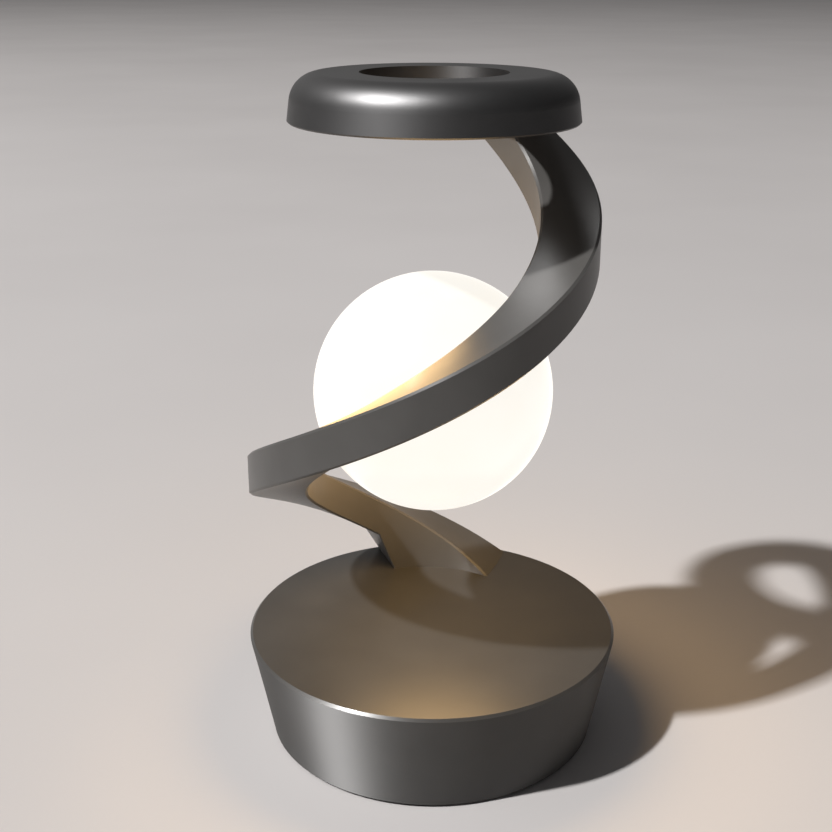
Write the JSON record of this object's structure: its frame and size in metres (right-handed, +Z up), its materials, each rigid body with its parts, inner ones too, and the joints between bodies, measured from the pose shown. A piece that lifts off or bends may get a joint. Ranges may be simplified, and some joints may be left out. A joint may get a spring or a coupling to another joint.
{
  "type": "levitating table lamp",
  "caption": "Table lamp with a drum base, a one-turn spiral arm carrying a flat ring, and an opal light globe that floats on the axis between base and ring.",
  "frame": {"origin": "on the table, under the middle of the round base", "axes": "+Z up along the axis of base, globe and ring; -Y is the front, +Y the rear with button and inlet"},
  "size_m": [0.12, 0.12, 0.2118],
  "materials": {
    "charcoal_metal": "satin charcoal coating",
    "black_satin": "satin black coating",
    "black_plastic": "fine matt moulding",
    "button_plastic": "polished moulding",
    "rubber": "matt",
    "opal": "opal diffuser",
    "board": "solder mask",
    "white_board": "white coated metal core",
    "copper": "enamelled wire",
    "steel": "zinc plated",
    "ferrite": "ground sintered magnet",
    "nickel": "nickel plated magnet",
    "led": "phosphor",
    "brass": "plated"
  },
  "bodies": {
    "stand": {"base_housing": "charcoal_metal", "bottom_cover": "black_plastic", "bottom_screws": "steel", "rubber_feet": "rubber", "spiral_arm": "charcoal_metal", "arm_foot_screws": "steel", "arm_top_screws": "steel", "ring_shell": "black_satin", "ring_cover": "black_plastic", "ring_screws": "steel", "lift_magnet": "ferrite", "coil_carrier": "black_plastic", "carrier_screws": "steel", "base_magnet": "ferrite", "stabiliser_coils": "copper", "coil_cores": "steel", "sensor_board": "board", "transmitter_coil": "copper", "control_board": "board", "board_screws": "steel", "button_switch": "black_plastic", "inlet_socket": "black_plastic", "inlet_pin": "brass"},
    "globe": {"globe_shell": "opal", "globe_cap": "opal", "float_magnet": "nickel", "receiver_coil": "copper", "led_board": "white_board", "led_chips": "led", "globe_screws": "steel"},
    "button": {"power_button": "button_plastic"}
  },
  "joints": [
    {"name": "globe_spin", "type": "hinge", "parent": "stand", "child": "globe", "pos_m": [0, 0, 0.1154], "axis": [0, 0, 1], "continuous": true},
    {"name": "button_press", "type": "slide", "parent": "stand", "child": "button", "axis": [0, -1, 0], "range_m": [0, 0.0015], "stiffness_N_per_m": 400}
  ]
}
